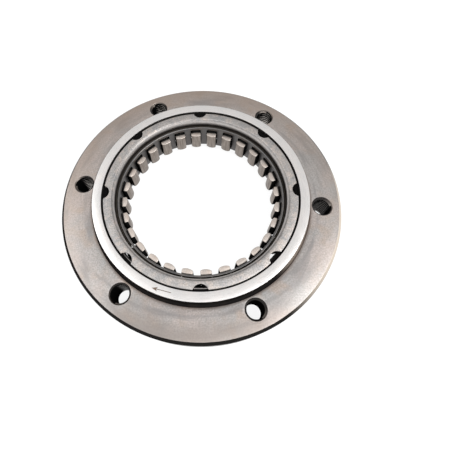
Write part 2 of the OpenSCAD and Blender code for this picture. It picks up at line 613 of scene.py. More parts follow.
class EdgeWearAndGlint(Effect):
    """A mask that is 1 on edges, which are worn and carry a painted glint, and 0 on open surfaces."""

    name = "edge wear"
    takes = {"Width": Kind.VALUE, "Gain": Kind.VALUE}
    gives = {"Mask": Kind.VALUE}

    def draw(self) -> None:
        """Adds the nodes of the effect."""
        soft = self.add("Bevel", {"Radius": self.enter["Width"]}, samples=6).outputs[0]
        same = self.vector("DOT_PRODUCT", soft, self.add("NewGeometry").outputs["Normal"])
        apart = self.maths("SUBTRACT", 1.0, same)
        self.give(Mask=self.maths("MULTIPLY", apart, self.enter["Gain"], clamp=True))


class OneSide(Effect):
    """A mask of one side, by how far a direction agrees with the side's heading."""

    name = "one side"
    takes = {"Direction": Kind.VECTOR, "Heading": Kind.VECTOR} | FADE_SOCKETS
    gives = {"Mask": Kind.VALUE}

    def draw(self) -> None:
        """Adds the nodes of the effect."""
        agreed = self.vector("DOT_PRODUCT", self.enter["Direction"], self.enter["Heading"])
        self.give(Mask=self.ramp(agreed, self.entered_fade()))


class RingBand(Effect):
    """A mask of a ring on the surface, at its level in its core and fading out to its width."""

    name = "ring band"
    takes = dict.fromkeys(("Radius", "Centre", "Core", "Width", "Level"), Kind.VALUE)
    gives = {"Mask": Kind.VALUE}

    def draw(self) -> None:
        """Adds the nodes of the effect."""
        enter = self.enter
        away = self.maths("ABSOLUTE", self.maths("SUBTRACT", enter["Radius"], enter["Centre"]))
        self.give(Mask=self.ramp(away, Fade(enter["Core"], enter["Width"], enter["Level"], 0.0)))


class SurfaceEffects:
    """All the shared effects, each built once."""

    def __init__(self) -> None:
        """Builds the node groups."""
        self.polar = PolarPlace()
        self.turning = TurningMarks()
        self.grain = Grain()
        self.stains = Stains()
        self.tone = Tone()
        self.skin = Skin()
        self.oxide_and_shade = OxideAndShade()
        self.wear_and_glint = EdgeWearAndGlint()
        self.side = OneSide()
        self.ring = RingBand()


class SteelNodes(NodeSketch):
    """A steel material's nodes, with the surface point that they colour."""

    def __init__(self, tree: bpy.types.NodeTree, effects: SurfaceEffects) -> None:
        """Finds the surface point.

        Args:
            tree: The material's node tree.
            effects: The shared node groups.
        """
        super().__init__(tree)
        self.effects = effects
        coordinates = self.add("TexCoord").outputs
        self.normal = coordinates["Normal"]
        self.place = self.scaled(coordinates["Object"], 1 / MM)
        self.polar = dict(self.effect(effects.polar, {"Place": self.place}).items())
        self.radius, self.around, self.height = (self.polar[label] for label in PolarPlace.gives)

    def effect(self, effect: Effect, inputs: dict) -> bpy.types.bpy_prop_collection:
        """Places a shared effect and returns its outputs."""
        return self.add("Group", inputs, node_tree=effect.tree).outputs

    def side(self, side: Side, direction: Socket | None = None) -> Socket:
        """Masks one side of the clutch.

        Args:
            side: The side.
            direction: What is compared with it, if not the point's direction from the axis.

        Returns:
            The mask.
        """
        turn = math.radians(side.angle)
        inputs = {"Direction": self.around if direction is None else direction}
        inputs |= {"Heading": (math.cos(turn), math.sin(turn), 0), **side.fade.inputs()}
        return self.effect(self.effects.side, inputs)["Mask"]

    def ring(self, ring: Ring, radius: Socket | None = None) -> Socket:
        """Masks a ring about the axis.

        Args:
            ring: The ring.
            radius: What is compared with it, if not the point's distance from the axis.

        Returns:
            The mask.
        """
        inputs = {"Radius": self.radius if radius is None else radius, "Centre": ring.radius}
        inputs |= {"Core": ring.core, "Width": ring.width, "Level": ring.level}
        return self.effect(self.effects.ring, inputs)["Mask"]


@dataclass(frozen=True)
class SteelFinish:
    """A steel surface: its colours, the marks of its making, and its worn edges, which also carry a painted
    glint, with sizes in millimetres.
    """

    name: str
    base: Colour
    tint: Colour
    stain: Colour
    stain_size: float = 12.0
    stain_amount: float = 0.6
    lines: float = 4.0
    line_breaks: float = 6.0
    line_contrast: float = 0.15
    line_depth: float = 0.02
    grain_size: float = 0.35
    grain_contrast: float = 0.1
    grain_depth: float = 0.01
    roughness: float = 0.4
    roughness_spread: float = 0.12
    # The colour of worn edges, which also carries a painted glint.
    edge: Colour | None = None
    edge_width: float = 0.15
    edge_gain: float = 5.0
    oxide_and_shade_fade: Fade = Fade(0.02, 0.08)
    oxide_and_shade_shine: float = 0.0
    seed_step: float = 1.3

    def colour(self, nodes: SteelNodes, base: Socket) -> Socket:
        """Gives a finish of its own a place to change the colour. This one leaves it."""
        return base

    def build(self, effects: SurfaceEffects) -> bpy.types.Material:
        """Makes the material.

        Args:
            effects: The shared node groups.

        Returns:
            The material, which reads Object coordinates.
        """
        material = bpy.data.materials.new(self.name)
        material.use_nodes = True
        nodes = SteelNodes(material.node_tree, effects)
        clouds = {"Place": nodes.place, "Size": self.stain_size, "Amount": self.stain_amount}
        clouds |= {"Base": self.base, "Tint": self.tint, "Stain": self.stain}
        turned = {"Lines": self.lines, "Breaks": self.line_breaks, "Seed": len(self.name) * self.seed_step}
        grained = {"Place": nodes.place, "Size": self.grain_size}
        texture = {
            "Marks": nodes.effect(effects.turning, nodes.polar | turned)["Marks"],
            "Speckle": nodes.effect(effects.grain, grained)["Speckle"],
        }
        toned = {"Colour": nodes.effect(effects.stains, clouds)["Colour"]}
        toned |= {"Line Contrast": self.line_contrast, "Grain Contrast": self.grain_contrast}
        colour = nodes.effect(effects.tone, texture | toned)["Colour"]
        # Lighter edges: worn steel with a painted glint.
        if self.edge:
            wear_and_glint = nodes.effect(effects.wear_and_glint, {"Width": self.edge_width * MM, "Gain": self.edge_gain})
            colour = nodes.mix(wear_and_glint["Mask"], colour, self.edge)
        colour = self.colour(nodes, colour)
        relief = {"Level": self.roughness, "Spread": self.roughness_spread}
        relief |= {"Line Depth": self.line_depth * MM, "Grain Depth": self.grain_depth * MM}
        skin = nodes.effect(effects.skin, texture | relief)
        # Only bright colours are metal, so the painted shade stays black.
        bare = nodes.effect(effects.oxide_and_shade, {"Colour": colour} | self.oxide_and_shade_fade.inputs())["Mask"]
        bump = nodes.add("Bump", {"Height": skin["Height"], "Strength": 1.0, "Distance": 1.0}).outputs[0]
        shader = material.node_tree.nodes["Principled BSDF"]
        links = {"Base Color": colour, "Roughness": skin["Roughness"], "Metallic": bare, "Normal": bump}
        for label, socket in links.items():
            nodes.tree.links.new(socket, shader.inputs[label])
        shader.inputs["Specular IOR Level"].default_value = self.oxide_and_shade_shine
        return material


@dataclass(frozen=True)
class FlangeFinish(SteelFinish):
    """The flange's ground face: smears, a grey swirl that is also painted shade on one side, heat tint that
    is also painted shade on another side, and painted shade at the hub's foot.
    """

    name: str = "flange_steel"
    base: Colour = linear(158, 150, 146)
    tint: Colour = linear(147, 147, 146)
    stain: Colour = linear(152, 140, 131)
    stain_size: float = 16.0
    stain_amount: float = 0.85
    line_contrast: float = 0.16
    line_depth: float = 0.002
    grain_size: float = 0.55
    grain_contrast: float = 0.5
    roughness: float = 0.38
    smear: Colour = linear(122, 120, 120)
    smear_turns: float = 2.6
    smear_rings: float = 0.32
    smear_fade: Fade = Fade(0.45, 0.72, 0.0, 0.7)
    # Painted shade: a darker grey swirl band, laid only on one side of the flange.
    swirl: Colour = linear(116, 110, 106)
    swirl_ring: Ring = Ring(54.5, 7.5, level=0.75)
    swirl_shade_side: Side = Side(-84.0, Fade(0.7, 0.98, 0.15, 1.0))
    swirl_fineness: float = 0.11
    swirl_sway: float = 3.0
    # Heat tint and painted shade: a warmer, darker tone on one side, strongest towards the rim.
    warm: Colour = linear(150, 134, 122)
    warm_shade_side: Side = Side(108.0, Fade(-0.6, 1.0, 0.1, 0.6))
    warm_fade: Fade = Fade(46.0, 56.0, 0.35, 1.0)
    # Painted shade in the corner where the flange meets the hub.
    foot: Colour = linear(96, 80, 70)
    foot_shade_fade: Fade = Fade(44.5, 45.7, 0.6, 0.0)

    def colour(self, nodes: SteelNodes, base: Socket) -> Socket:
        """Lays the smears, the swirl and the heat tint, each with painted shade on one side, and the painted
        shade at the hub's foot.

        Args:
            nodes: The material's nodes.
            base: The colour so far.

        Returns:
            The colour with all of these.
        """
        across = nodes.add("CombineXYZ", {2: nodes.times(nodes.radius, self.smear_rings)}).outputs[0]
        spot = nodes.vector("ADD", nodes.scaled(nodes.around, self.smear_turns), across)
        streaks = nodes.noise({"Vector": spot, "Scale": 1.0, "Detail": 4.0, "Distortion": 0.6})
        smeared = nodes.mix(nodes.ramp(streaks, self.smear_fade), base, self.smear)
        patches = nodes.noise({"Vector": nodes.place, "Scale": self.swirl_fineness, "Detail": 3.0})
        swayed = nodes.maths("ADD", nodes.radius, nodes.times(nodes.swing(patches), self.swirl_sway))
        # Painted shade: the swirl band, kept to one side.
        cloud = nodes.times(nodes.side(self.swirl_shade_side), nodes.ring(self.swirl_ring, swayed))
        swirled_and_shaded = nodes.mix(cloud, smeared, self.swirl)
        # Heat tint with painted shade: the warm tone, kept mostly to one side.
        heat = nodes.times(nodes.side(self.warm_shade_side), nodes.ramp(nodes.radius, self.warm_fade))
        warmed = nodes.mix(heat, swirled_and_shaded, self.warm)
        return nodes.mix(nodes.ramp(nodes.radius, self.foot_shade_fade), warmed, self.foot)


@dataclass(frozen=True)
class RimFinish(SteelFinish):
    """The race's turned outside: its upper edge carries painted shade on one side and a painted highlight on
    another.
    """

    name: str = "rim_steel"
    base: Colour = linear(86, 82, 79)
    tint: Colour = linear(74, 72, 70)
    stain: Colour = linear(94, 87, 81)
    line_breaks: float = 3.0
    line_contrast: float = 0.35
    roughness: float = 0.42
    upper_fade: Fade = Fade(10.5, 10.9)
    # Painted shade on the upper edge, on one side.
    dark: Colour = linear(30, 29, 28)
    rim_shade_side: Side = Side(-100.0, Fade(-0.1, 0.5))
    # Painted highlight on the upper edge, on one side.
    glow: Colour = linear(214, 202, 188)
    glow_side: Side = Side(-12.0, Fade(0.78, 1.0))

    def colour(self, nodes: SteelNodes, base: Socket) -> Socket:
        """Lays the painted shade on the upper edge and its painted highlight.

        Args:
            nodes: The material's nodes.
            base: The colour so far.

        Returns:
            The colour with both.
        """
        # Painted shade on the upper edge, then its painted highlight.
        rim_shaded = nodes.mix(nodes.side(self.rim_shade_side), base, self.dark)
        edge = nodes.mix(nodes.side(self.glow_side), rim_shaded, self.glow)
        return nodes.mix(nodes.ramp(nodes.height, self.upper_fade), base, edge)


@dataclass(frozen=True)
class SinkFinish(SteelFinish):
    """The countersink of a tapped hole: bright on its outer side, with painted shade on the side by the hub.
    """

    name: str = "sink_steel"
    base: Colour = linear(128, 119, 112)
    tint: Colour = linear(112, 106, 102)
    stain: Colour = linear(134, 122, 112)
    stain_size: float = 3.0
    roughness: float = 0.35
    # Painted shade on the side of the countersink by the hub.
    shade: Colour = linear(44, 42, 41)
    lit_fade: Fade = Fade(-0.85, -0.1, 1.0, 0.0)

    def colour(self, nodes: SteelNodes, base: Socket) -> Socket:
        """Lays painted shade on all but the side that faces the clutch's axis."""
        outwards = nodes.vector("DOT_PRODUCT", nodes.normal, nodes.around)
        return nodes.mix(nodes.ramp(outwards, self.lit_fade), self.shade, base)


@dataclass(frozen=True)
class ThreadFinish(SteelFinish):
    """The thread in a tapped hole: a painted highlight on its crests where they face the light, and painted
    shade on the rest.
    """

    name: str = "thread_steel"
    base: Colour = linear(26, 25, 24)
    tint: Colour = linear(20, 20, 20)
    stain: Colour = linear(34, 32, 31)
    stain_size: float = 2.2
    line_contrast: float = 0.0
    grain_contrast: float = 0.0
    roughness: float = 0.3
    # Painted shade over all but the lit crests.
    shade: Colour = linear(8, 8, 8)
    # Painted highlight on the crests that face the light.
    crest: Colour = linear(214, 207, 201)
    crest_fade: Fade = Fade(THREAD_R, THREAD_R + 0.2)
    lit_side: Side = Side(-115.0, Fade(0.3, 0.9))
    far_side: Side = Side(120.0, Fade(-0.75, 0.4))
    hole_step: float = math.tau / HOLE_COUNT

    def depth(self, nodes: SteelNodes) -> Socket:
        """Finds a point's distance from the axis of its own hole.

        Args:
            nodes: The material's nodes.

        Returns:
            The distance in millimetres.
        """
        split = nodes.add("SeparateXYZ", {0: nodes.around}).outputs
        angle = nodes.maths("ARCTAN2", split[1], split[0])
        turns = nodes.maths("ROUND", nodes.maths("DIVIDE", angle, self.hole_step))
        folded = nodes.maths("SUBTRACT", angle, nodes.times(turns, self.hole_step))
        out = nodes.times(nodes.radius, nodes.maths("COSINE", folded))
        aside = nodes.times(nodes.radius, nodes.maths("SINE", folded))
        spot = nodes.add("CombineXYZ", {0: nodes.maths("SUBTRACT", out, HOLE_RING_R), 1: aside})
        return nodes.vector("LENGTH", spot.outputs[0])

    def colour(self, nodes: SteelNodes, base: Socket) -> Socket:
        """Lays a painted highlight on the crests on the lit side, and painted shade on the rest.

        Args:
            nodes: The material's nodes.
            base: The colour so far.

        Returns:
            The colour with the crests and the dark side.
        """
        crested = nodes.mix(nodes.ramp(self.depth(nodes), self.crest_fade), self.crest, base)
        # The lit side keeps the crests' painted highlight, and the rest takes the painted shade.
        lit = nodes.times(nodes.side(self.lit_side, nodes.normal), nodes.side(self.far_side))
        return nodes.mix(lit, self.shade, crested)


@dataclass(frozen=True)
class GrooveFinish(SteelFinish):
    """The outer wall of the hub and its groove: painted dark for a dark reflection, with a painted highlight
    on one side.
    """

    name: str = "groove_steel"
    # Painted reflection: the wall's colours are near black.
    base: Colour = linear(30, 28, 27)
    tint: Colour = linear(22, 21, 21)
    stain: Colour = linear(40, 35, 32)
    lines: float = 5.0
    line_contrast: float = 0.3
    roughness: float = 0.5
    # Painted highlight on one side of the hub's wall.
    glow: Colour = linear(112, 102, 94)
    glow_side: Side = Side(0.0, Fade(0.7, 0.9))

    def colour(self, nodes: SteelNodes, base: Socket) -> Socket:
        """Lays the painted highlight."""
        return nodes.mix(nodes.side(self.glow_side), base, self.glow)


@dataclass(frozen=True)
class LedgeFinish(SteelFinish):
    """The ledge under the cage's flange: painted near black as shade, with a painted highlight on a part of
    its seat.
    """

    name: str = "ledge_steel"
    # Painted shade: the ledge under the cage's flange is near black.
    base: Colour = linear(16, 15, 15)
    tint: Colour = linear(12, 12, 12)
    stain: Colour = linear(22, 20, 19)
    lines: float = 5.0
    roughness: float = 0.35
    # Painted highlight on a ring of the seat, on one side.
    seat: Colour = linear(168, 163, 160)
    seat_glint_ring: Ring = Ring(38.1, 0.42, core=0.252)
    seat_glint_side: Side = Side(-90.0, Fade(0.6, 0.98))

    def colour(self, nodes: SteelNodes, base: Socket) -> Socket:
        """Lays the painted highlight on the seat."""
        # Painted highlight on the seat, on one side.
        glinting = nodes.times(nodes.ring(self.seat_glint_ring), nodes.side(self.seat_glint_side))
        return nodes.mix(glinting, base, self.seat)


@dataclass(frozen=True)
class SheetFinish(SteelFinish):
    """A cage's pressed sheet: bright above, with painted shade down the wall and painted black low in the
    windows.
    """

    name: str = "cage_steel"
    base: Colour = linear(153, 149, 146)
    tint: Colour = linear(137, 136, 136)
    stain: Colour = linear(170, 160, 153)
    stain_size: float = 4.0
    stain_amount: float = 0.9
    lines: float = 5.0
    line_contrast: float = 0.38
    line_depth: float = 0.004
    grain_size: float = 0.45
    grain_contrast: float = 0.75
    roughness: float = 0.46
    edge: Colour = linear(196, 192, 189)
    edge_width: float = 0.12
    bent: bool = True
    # Painted shade: a dark line along the bend.
    crease: Colour = linear(78, 76, 76)
    crease_shade_ring: Ring = Ring(35.65, 0.32, level=0.6)
    # Painted highlight on the bend's lip, stronger on one side.
    lip: Colour = linear(202, 198, 195)
    lip_glint_ring: Ring = Ring(35.05, 0.3)
    lip_glint_side: Side = Side(40.0, Fade(-0.2, 0.9, 0.5, 1.0))
    # Painted shade: the sheet darkens down the wall, towards the bottom.
    wall: Colour = linear(96, 90, 88)
    wall_fade: Fade = Fade(12.8, 14.6)
    # Painted shade: near black low in the windows and behind the walls.
    deep: Colour = (0.006, 0.006, 0.006)
    deep_shade_fade: Fade = Fade(12.0, 12.6, 1.0, 0.0)
    behind_fade: Fade = Fade(0.0, 0.1)

    def colour(self, nodes: SteelNodes, base: Socket) -> Socket:
        """Lays painted shade down the wall and in the windows, and the painted highlight on the lip and the
        painted shade in the crease of a bent sheet.

        Args:
            nodes: The material's nodes.
            base: The colour so far.

        Returns:
            The colour with all of these.
        """
        sheet = base
        if self.bent:
            # Painted highlight on the lip, and painted shade in the crease.
            glinting = nodes.times(nodes.ring(self.lip_glint_ring), nodes.side(self.lip_glint_side))
            lip_glinted = nodes.mix(glinting, base, self.lip)
            sheet = nodes.mix(nodes.ring(self.crease_shade_ring), lip_glinted, self.crease)
        # Painted shade down the wall, and near black low in the windows.
        drawn = nodes.mix(nodes.ramp(nodes.height, self.wall_fade), self.wall, sheet)
        low, behind = nodes.ramp(nodes.height, self.deep_shade_fade), nodes.ramp(nodes.radius, self.behind_fade)
        return nodes.mix(nodes.times(low, behind), drawn, self.deep)


@dataclass(frozen=True)
class SpragFinish(SteelFinish):
    """A sprag's tumbled steel: pale ends, a grey streaked sole, and painted shade on its sides and on its
    outer part behind the inner cage.
    """

    name: str = "sprag_steel"
    base: Colour = linear(180, 170, 162)
    tint: Colour = linear(168, 162, 157)
    stain: Colour = linear(172, 158, 148)
    stain_size: float = 4.0
    lines: float = 3.0
    line_contrast: float = 0.12
    grain_contrast: float = 0.2
    roughness: float = 0.42
    edge: Colour = linear(222, 218, 214)
    edge_width: float = 0.2
    wall_fade: Fade = Fade(0.15, 0.8, 1.0, 0.0)
    sole: Colour = linear(118, 109, 102)
    streak_size: float = 0.35
    streak_stretch: Colour = (1.0, 1.0, 0.06)
    streak_fade: Fade = Fade(0.3, 0.7, 0.45, 1.0)
    # Painted shade on the sprag's sides.
    flank: Colour = (0.01, 0.01, 0.01)
    flank_shade_fade: Fade = Fade(0.25, 0.6, 1.0, 0.0)
    # Painted shade: near black behind the inner cage.
    deep: Colour = (0.008, 0.008, 0.008)
    deep_shade_fade: Fade = Fade(32.15, 32.65)

    def colour(self, nodes: SteelNodes, base: Socket) -> Socket:
        """Greys the sole in upright streaks, and lays painted shade on the sides and on what lies behind the
        inner cage.

        Args:
            nodes: The material's nodes.
            base: The colour so far.

        Returns:
            The colour with all three.
        """
        upright = nodes.add("SeparateXYZ", {0: nodes.normal}).outputs[2]
        wall = nodes.ramp(nodes.maths("ABSOLUTE", upright), self.wall_fade)
        stretched = nodes.vector("MULTIPLY", nodes.place, self.streak_stretch)
        noise = nodes.noise({"Vector": stretched, "Scale": 1 / self.streak_size, "Detail": 3.0})
        soled = nodes.mix(nodes.times(wall, nodes.ramp(noise, self.streak_fade)), base, self.sole)
        # Painted shade on the sides, and near black behind the inner cage.
        inwards = nodes.maths("ABSOLUTE", nodes.vector("DOT_PRODUCT", nodes.normal, nodes.around))
        flank_shaded = nodes.mix(nodes.times(wall, nodes.ramp(inwards, self.flank_shade_fade)), soled, self.flank)
        return nodes.mix(nodes.ramp(nodes.radius, self.deep_shade_fade), flank_shaded, self.deep)


class RaceFace(Enum):
    """The kinds of face on the race, in the order of its material slots."""

    RIM = 0
    FLANGE = 1
    HUB = 2
    GROOVE = 3
    THREAD = 4
    SINK = 5
    LEDGE = 6
    COUNTERBORE = 7
    TRACK = 8
    ETCH = 9


class Finishes:
    """All the materials of the clutch."""

    def __init__(self) -> None:
        """Builds each material once."""
        effects = SurfaceEffects()
        race = {
            RaceFace.RIM: RimFinish(),
            RaceFace.FLANGE: FlangeFinish(),
            RaceFace.HUB: SteelFinish(
                "hub_steel",
                base=linear(204, 201, 199),
                tint=linear(194, 193, 192),
                stain=linear(211, 205, 201),
                stain_size=9,
                lines=9,
                line_breaks=9,
                line_contrast=0.06,
                line_depth=0.002,
                grain_contrast=0.08,
                roughness=0.3,
            ),
            RaceFace.GROOVE: GrooveFinish(),
            RaceFace.THREAD: ThreadFinish(),
            RaceFace.SINK: SinkFinish(),
            RaceFace.LEDGE: LedgeFinish(),
            # Painted shade: the counterbore's wall is darker steel than the hub's face.
            RaceFace.COUNTERBORE: SteelFinish(
                "counterbore_steel",
                base=linear(92, 89, 87),
                tint=linear(76, 75, 74),
                stain=linear(100, 94, 90),
                lines=5,
                roughness=0.45,
            ),
            # Painted shade: the track, hidden inside the race, is dark steel.
            RaceFace.TRACK: SteelFinish(
                "track_steel",
                base=linear(70, 68, 67),
                tint=linear(56, 55, 55),
                stain=linear(84, 78, 73),
                lines=7,
                line_contrast=0.1,
                roughness=0.32,
            ),
            RaceFace.ETCH: SteelFinish(
                "etch_steel",
                base=linear(110, 96, 86),
                tint=linear(92, 82, 76),
                stain=linear(120, 104, 92),
                roughness=0.6,
            ),
        }
        self.race = [race[face].build(effects) for face in RaceFace]
        self.cage = SheetFinish().build(effects)
        self.inner_cage = SheetFinish(
            "inner_cage_steel",
            base=linear(96, 94, 93),
            tint=linear(80, 80, 81),
            stain=linear(106, 100, 95),
            stain_size=8,
            stain_amount=0.6,
            lines=6,
            line_contrast=0.14,
            line_depth=0.02,
            grain_size=0.35,
            grain_contrast=0.18,
            roughness=0.36,
            edge=linear(150, 150, 150),
            edge_width=0.15,
            bent=False,
            # Painted shade: the inner cage's wall darkens towards its foot, and what lies behind its inner
            # face is near black.
            wall=linear(88, 85, 84),
            wall_fade=Fade(6.7, 12.7),
            behind_fade=Fade(33.2, 33.3),
        ).build(effects)
        self.spring = SteelFinish(
            "spring_steel",
            base=linear(62, 58, 52),
            tint=linear(48, 45, 40),
            stain=linear(72, 66, 58),
            roughness=0.35,
        ).build(effects)
        self.sprag = SpragFinish().build(effects)


@dataclass
class OuterRace:
    """The flanged outer race: flange, hub, counterbore, track, tapped holes and a direction mark."""

    finishes: Finishes
    flange_r: float
    top_z: float
    flange_t: float = 12.0
    rim_chamfer: float = 1.1
    hub_r: float = 43.5
    hub_chamfer: float = 0.2
    groove_w: float = 1.0
    groove_depth: float = 0.35
    counterbore_r: float = 39.6
    ledge_z: float = 14.55
    track_r: float = 37.75
    track_chamfer: float = 0.5
    edge_round: float = 0.12
    thread_major_r: float = 4.0
    thread_pitch: float = 1.25
    thread_low: float = 0.7
    thread_flats: Point = (0.25, 0.125)
    thread_steps: int = 28
    sink_r: float = 4.1
    sink_slope: Point = (0.5, 0.9)
    floor_slope: float = 0.5
    sink_steps: int = 48
    lower_sink: float = 0.15
    mark_depth: float = 0.1
    mark_r: float = 41.9
    mark_angle: float = -107.6
    mark_heading: float = -7.9
    mark_length: float = 7.1
    mark_line_w: float = 0.24
    mark_head: Point = (2.1, 1.5)
    mark_barb: float = 0.8
    steps: int = 288
    cut: float = 1.0
    near: float = 0.01
    margin: float = 0.3

    def section(self) -> list[Point]:
        """Draws the race's half section, with its edges broken as grinding leaves them.

        Returns:
            The outline as radius and height.
        """
        edge = self.edge_round
        chamfer = self.rim_chamfer
        floor_z = self.flange_t - self.groove_depth
        return rounded([
            Corner(self.track_r + self.track_chamfer, 0, edge),
            Corner(self.flange_r - chamfer, 0, edge),
            Corner(self.flange_r, chamfer, edge),
            Corner(self.flange_r, self.flange_t - chamfer, edge),
            Corner(self.flange_r - chamfer, self.flange_t, edge),
            Corner(self.hub_r + self.groove_w, self.flange_t, edge),
            Corner(self.hub_r + self.groove_w, floor_z, edge),
            Corner(self.hub_r, floor_z, edge),
            Corner(self.hub_r, self.top_z - self.hub_chamfer, edge),
            Corner(self.hub_r - self.hub_chamfer, self.top_z, edge),
            Corner(self.counterbore_r, self.top_z, 2 * edge),
            Corner(self.counterbore_r, self.ledge_z, edge),
            Corner(self.track_r + self.track_chamfer, self.ledge_z, edge),
            Corner(self.track_r, self.ledge_z - self.track_chamfer, edge),
            Corner(self.track_r, self.track_chamfer, edge),
        ])

    def sink_cutter(self) -> bpy.types.Object:
        """Makes the drills with their countersinks and the small breaks of the lower edges.

        Returns:
            The cutters of all the holes, joined in one object.
        """
        points = [
            (0, -self.cut),
            (THREAD_R + self.lower_sink + self.cut, -self.cut),
            (THREAD_R, self.lower_sink),
            (THREAD_R, self.flange_t - self.sink_r + THREAD_R),
            (self.sink_r + self.cut, self.flange_t + self.cut),
            (0, self.flange_t + self.cut),
        ]
        cutter = spin_solid("sink", points, self.sink_steps)
        cutter.data.transform(move_by(HOLE_RING_R, 0))
        return copies_around(cutter, HOLE_COUNT)

    def tap(self) -> bpy.types.Object:
        """Makes the screw-shaped solids that cut the threads.

        Returns:
            The taps of all the holes, joined in one object.
        """
        pitch, low = self.thread_pitch, self.thread_low
        crest, root = (pitch * share for share in self.thread_flats)
        flank, depth = (pitch - crest - root) / 2, self.thread_major_r - THREAD_R
        wire = trace_outline("tap", [(THREAD_R, low), (THREAD_R, low + crest)], Plane.SECTION)
        with editing("DESELECT"):
            mesh = bmesh.from_edit_mesh(wire.data)
            max(mesh.verts, key=lambda vertex: vertex.co.z).select = True
            bmesh.update_edit_mesh(wire.data)
            for step in ((depth, flank), (0, root), (-depth, flank)):
                extrude_by(Plane.SECTION.place(step))
        screw = wire.modifiers.new("screw", "SCREW")
        screw.steps = screw.render_steps = self.thread_steps
        screw.iterations = math.ceil((self.flange_t - low) / pitch) + 1
        screw.screw_offset = pitch * MM
        make_active(wire)
        bpy.ops.object.modifier_apply(modifier=screw.name)
        with editing():
            bpy.ops.mesh.remove_doubles(threshold=WELD)
            bpy.ops.mesh.fill_holes(sides=0)
        close_mesh(wire)
        wire.data.transform(move_by(HOLE_RING_R, 0))
        return copies_around(wire, HOLE_COUNT)

    def mark_cutter(self) -> bpy.types.Object:
        """Makes the cutter of the plain arrow on the hub face.

        Returns:
            The cutter.
        """
        head_l, head_w = self.mark_head
        line = self.mark_line_w / 2
        upper = [(self.mark_length, line), (head_l * self.mark_barb, line), (head_l, head_w / 2)]
        outline = [(0, 0), *((x, -y) for x, y in reversed(upper)), *upper]
        mark = extrude_solid("mark", outline, Plane.PLAN, self.top_z - self.mark_depth, self.top_z + self.cut)
        tip = turn_by(self.mark_angle) @ Vector((self.mark_r * MM, 0, 0))
        mark.data.transform(Matrix.Translation(tip) @ turn_by(self.mark_heading))
        return mark

    def kind_of(self, face: bpy.types.MeshPolygon) -> RaceFace:
        """Tells what kind of face one of the race's faces is.

        Args:
            face: The face.

        Returns:
            Its kind, by its place and direction.
        """
        x, y, z = face.center / MM
        radius, angle, slope = math.hypot(x, y), math.atan2(y, x), face.normal.z
        spacing = math.tau / HOLE_COUNT
        off = (angle + spacing / 2) % spacing - spacing / 2
        from_hole = math.hypot(radius * math.cos(off) - HOLE_RING_R, radius * math.sin(off))
        level, under = abs(slope) > LEVEL, z < self.near
        ground = level and (under or z > self.flange_t - self.near)
        foot_r = self.hub_r + self.groove_w
        if level and z > self.top_z - self.mark_depth / 2:
            return RaceFace.HUB
        on_hub = self.counterbore_r + self.cut < radius < self.hub_r - self.cut
        if on_hub and z > self.top_z - 2 * self.mark_depth:
            return RaceFace.ETCH
        if from_hole < self.sink_r and not ground:
            low, high = self.sink_slope
            cone = low < slope < high and z > self.flange_t - self.sink_r + THREAD_R
            return RaceFace.SINK if cone else RaceFace.THREAD
        if ground and (under or radius > foot_r - self.margin):
            return RaceFace.FLANGE
        if radius < self.counterbore_r + self.margin:
            if z < self.ledge_z - self.margin:
                return RaceFace.TRACK
            return RaceFace.LEDGE if slope > self.floor_slope else RaceFace.COUNTERBORE
        return RaceFace.GROOVE if radius < foot_r + self.margin else RaceFace.RIM

    def build(self) -> bpy.types.Object:
        """Makes the race and puts it in the frame.

        Returns:
            The finished piece.
        """
        race = spin_solid("race_ground", self.section(), self.steps)
        cut_away(race, self.sink_cutter())
        cut_away(race, self.tap())
        cut_away(race, self.mark_cutter())
        set_finishes(race, self.finishes.race)
        for face in race.data.polygons:
            face.material_index = self.kind_of(face).value
        smooth_shade(race)
        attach(race, "outer_race")
        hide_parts("outer_race")
        return race


@dataclass
class WindowRow:
    """The ring of windows that both cages have, above a sill at the cages' foot."""

    count: int
    start: float
    foot_z: float
    sill: float = 1.3
    height: float = 9.6
    corner_r: float = 0.5
    reach: float = 5.0

    def cutter(self, width: float, wall_r: float) -> bpy.types.Object:
        """Makes the punches of all the windows in one wall.

        Args:
            width: The width of a window.
            wall_r: The wall's inside radius.

        Returns:
            The punches, joined in one object.
        """
        half, low = width / 2, self.foot_z + self.sill
        top = low + self.height
        corners = ((-half, low), (half, low), (half, top), (-half, top))
        outline = rounded([Corner(x, z, self.corner_r) for x, z in corners])
        inside, outside = wall_r - self.reach / 2, wall_r + self.reach / 2
        punch = extrude_solid("window", outline, Plane.SECTION, inside, outside)
        return copies_around(punch, self.count, self.start - Y_ANGLE)


